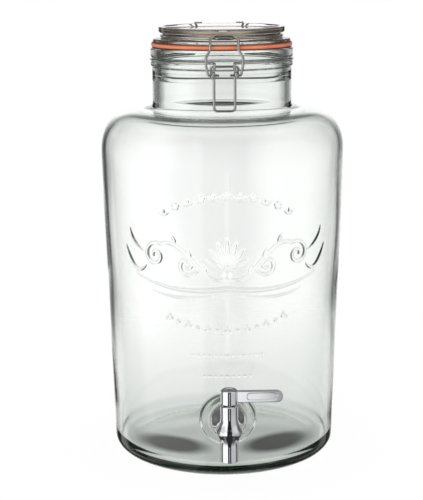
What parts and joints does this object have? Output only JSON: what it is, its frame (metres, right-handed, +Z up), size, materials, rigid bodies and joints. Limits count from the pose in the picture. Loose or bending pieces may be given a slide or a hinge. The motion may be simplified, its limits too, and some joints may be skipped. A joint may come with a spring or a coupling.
{
  "type": "glass dispenser jar with tap",
  "caption": "Clear glass clip-top dispenser jar with a wire latch, hinged glass lid, rubber seal and a chromed quarter-turn tap low on its front.",
  "frame": {"origin": "the point on the table under the jar's vertical axis", "axes": "+Z up along the jar's axis; -Y towards the tap and the latch; the tap's lever points to +X when closed"},
  "size_m": [0.214, 0.2514, 0.3783],
  "materials": {
    "clear_glass": "clear, slightly green in thick places",
    "orange_rubber": "satin",
    "black_rubber": "satin",
    "clear_rubber": "satin, translucent",
    "steel_wire": "bright drawn wire",
    "chrome": "polished",
    "plug_plastic": "natural white"
  },
  "bodies": {
    "jar": {"glass_jar": "clear_glass", "neck_wire": "steel_wire", "tap_body": "chrome", "tap_outer_washer": "clear_rubber", "tap_inner_washer": "clear_rubber", "tap_slip_washer": "plug_plastic", "tap_nut": "plug_plastic"},
    "lid": {"glass_lid": "clear_glass", "lid_seal": "orange_rubber", "lid_wire": "steel_wire"},
    "lever": {"latch_lever": "steel_wire"},
    "loop": {"latch_loop": "steel_wire"},
    "handle": {"tap_lever": "chrome", "tap_screw": "steel_wire", "tap_button": "chrome", "tap_plug": "plug_plastic", "plug_o_rings": "black_rubber"}
  },
  "joints": [
    {"name": "lid_hinge", "type": "hinge", "parent": "jar", "child": "lid", "pos_m": [0, 0.065, 0.3749], "axis": [-1, 0, 0], "range_deg": [0, 110]},
    {"name": "lever_pivot", "type": "hinge", "parent": "jar", "child": "lever", "pos_m": [0, -0.0658, 0.34762], "axis": [-1, 0, 0], "range_deg": [0, 165]},
    {"name": "loop_pivot", "type": "hinge", "parent": "lever", "child": "loop", "pos_m": [0, -0.0669, 0.3404], "axis": [-1, 0, 0], "range_deg": [-183, 0]},
    {"name": "tap_turn", "type": "hinge", "parent": "jar", "child": "handle", "pos_m": [0, -0.133, 0.0755], "axis": [0, 0, 1], "range_deg": [-90, 0]}
  ],
  "couplings": [
    {"joint": "loop_pivot", "follows": "lever_pivot", "ratio": -1.1}
  ]
}
